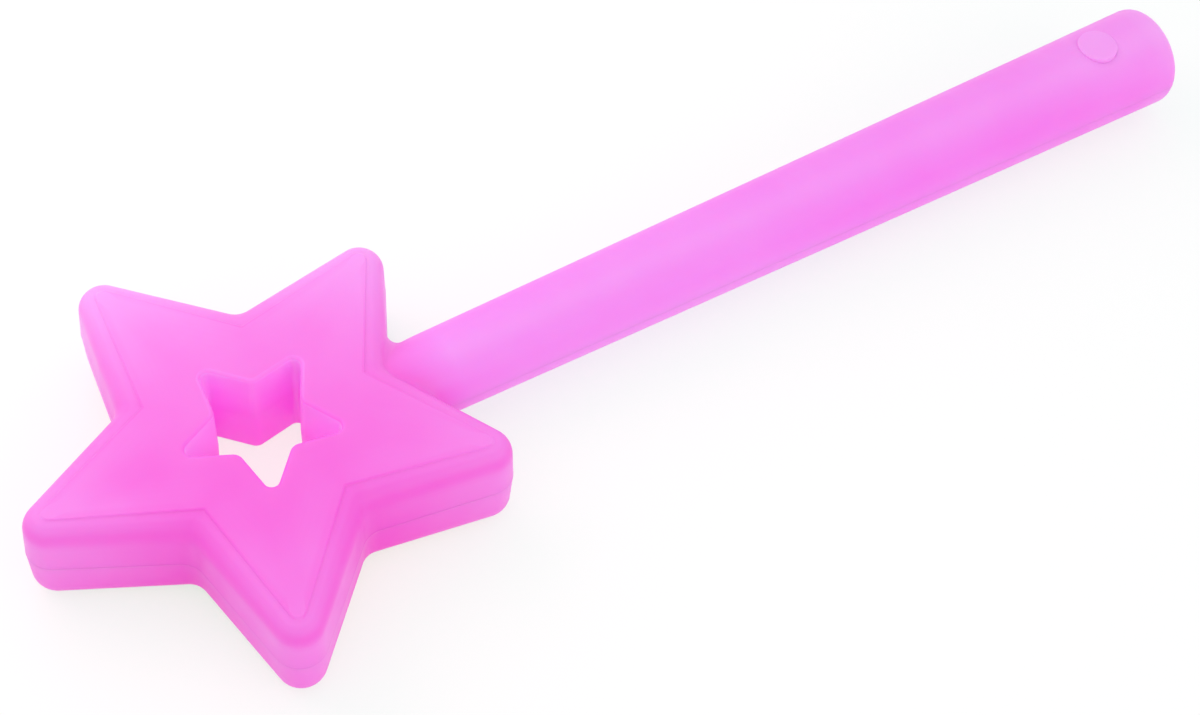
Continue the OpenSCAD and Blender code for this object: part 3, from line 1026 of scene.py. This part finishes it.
def softbox(name, place, aim, width, depth, power):
    """A rectangular soft light, aimed at a point."""
    data = bpy.data.lights.new(name, "AREA")
    data.shape = "RECTANGLE"
    data.size, data.size_y = width, depth
    data.energy = power
    light = bpy.data.objects.new(name, data)
    bpy.context.scene.collection.objects.link(light)
    way = Vector(aim) - Vector(place)
    light.matrix_world = Matrix.Translation(place) @ way.to_track_quat("-Z", "Y").to_matrix().to_4x4()


def studio_white(name, plain, seen, lift):
    """White floor that lights the wand from below. The camera sees it lifted, and its shadow neutral."""
    material = bpy.data.materials.new(name)
    material.use_nodes = True
    tree = material.node_tree
    shader = tree.nodes["Principled BSDF"]
    shader.inputs["Roughness"].default_value = 0.9
    shader.inputs["Specular IOR Level"].default_value = 0.0
    place = tree.nodes.new("ShaderNodeTexCoord")
    away = tree.nodes.new("ShaderNodeVectorMath")
    away.operation = "LENGTH"
    far = tree.nodes.new("ShaderNodeMapRange")
    far.interpolation_type = "SMOOTHSTEP"
    far.inputs["From Min"].default_value = FLOOR_NEAR
    far.inputs["From Max"].default_value = FLOOR_FAR
    lifted = tree.nodes.new("ShaderNodeMix")
    lifted.data_type = "RGBA"
    lifted.inputs["A"].default_value = (*lift, 1.0)
    lifted.inputs["B"].default_value = (1.0, 1.0, 1.0, 1.0)
    tree.links.new(place.outputs["Object"], away.inputs[0])
    tree.links.new(away.outputs["Value"], far.inputs["Value"])
    tree.links.new(far.outputs["Result"], lifted.inputs["Factor"])
    tree.links.new(lifted.outputs["Result"], shader.inputs["Emission Color"])
    path = tree.nodes.new("ShaderNodeLightPath")
    watched = path.outputs["Is Camera Ray"]
    for ray in ("Is Glossy Ray", "Is Transmission Ray"):
        either = tree.nodes.new("ShaderNodeMath")
        either.operation = "MAXIMUM"
        tree.links.new(watched, either.inputs[0])
        tree.links.new(path.outputs[ray], either.inputs[1])
        watched = either.outputs[0]
    paint = tree.nodes.new("ShaderNodeMix")
    paint.data_type = "RGBA"
    paint.inputs["A"].default_value = (*plain, 1.0)
    paint.inputs["B"].default_value = (*seen, 1.0)
    tree.links.new(watched, paint.inputs["Factor"])
    tree.links.new(paint.outputs["Result"], shader.inputs["Base Color"])
    tree.links.new(watched, shader.inputs["Emission Strength"])
    return material


def photo_camera(centre):
    """The camera of the photograph, by its direction from the star's centre, its distance and its roll."""
    scene = bpy.context.scene
    data = bpy.data.cameras.new("photo camera")
    data.sensor_width = SENSOR_WIDTH
    data.lens = SENSOR_WIDTH * CAMERA_FOCUS / PHOTO_WIDTH
    data.clip_start = CAMERA_NEAREST
    camera = bpy.data.objects.new("photo camera", data)
    scene.collection.objects.link(camera)
    level = polar(math.cos(CAMERA_ELEVATION), CAMERA_AZIMUTH)
    back = Vector((level.x, level.y, math.sin(CAMERA_ELEVATION)))
    right = Vector((0, 0, 1)).cross(back).normalized()
    turn = Matrix((right, back.cross(right), back)).transposed() @ Matrix.Rotation(CAMERA_ROLL, 3, "Z")
    place = Vector((centre.x, 0, 0)) + turn @ CAMERA_OFFSET
    camera.matrix_world = Matrix.Translation(place) @ turn.to_4x4()
    scene.camera = camera


class WAND_OT_stage(bpy.types.Operator):
    """Sets the floor, the lights and the camera"""

    bl_idname = "wand.stage"
    bl_label = "Stage"

    def execute(self, context):
        scene = context.scene
        scene.view_settings.view_transform = "Standard"
        scene.cycles.max_bounces = LIGHT_BOUNCES
        scene.cycles.diffuse_bounces = LIGHT_BOUNCES
        bpy.ops.object.select_all(action="DESELECT")
        bpy.ops.mesh.primitive_plane_add(size=FLOOR_SIZE)
        floor = context.object
        floor.name = floor.data.name = "floor"
        white = studio_white("studio white", scene.wand.colours.floor, FLOOR_SEEN, FLOOR_LIFT)
        floor.data.materials.append(white)
        photo_camera(WandForm(scene.wand).centre)
        for box in SOFTBOXES:
            softbox(*box)
        world = bpy.data.worlds.new("studio")
        world.use_nodes = True
        sky = world.node_tree.nodes["Background"]
        sky.inputs["Color"].default_value = (1, 1, 1, 1)
        sky.inputs["Strength"].default_value = SKY_STRENGTH
        scene.world = world
        return {"FINISHED"}


class WAND_PT_panel(bpy.types.Panel):
    """The wand's pieces and its stage"""

    bl_label = "Toy magic wand"
    bl_idname = "WAND_PT_panel"
    bl_space_type = "VIEW_3D"
    bl_region_type = "UI"
    bl_category = "Wand"

    def draw(self, context):
        for operator in OPERATORS:
            self.layout.operator(operator.bl_idname)


GROUPS = (WandStar, WandHandle, WandColours, WandSettings)
OPERATORS = (WAND_OT_upper_shell, WAND_OT_lower_shell, WAND_OT_air_plug, WAND_OT_stage)


def register():
    """Makes the wand's settings, operators and panel known to Blender."""
    for cls in (*GROUPS, *OPERATORS, WAND_PT_panel):
        bpy.utils.register_class(cls)
    bpy.types.Scene.wand = PointerProperty(type=WandSettings, name="Wand", description="The toy magic wand")


def unregister():
    """Takes them out again."""
    del bpy.types.Scene.wand
    for cls in reversed((*GROUPS, *OPERATORS, WAND_PT_panel)):
        bpy.utils.unregister_class(cls)


def main():
    """Builds the wand and its stage."""
    register()
    bpy.ops.wand.upper_shell()
    bpy.ops.wand.lower_shell()
    bpy.ops.wand.air_plug()
    bpy.ops.wand.stage()


if __name__ == "__main__":
    main()
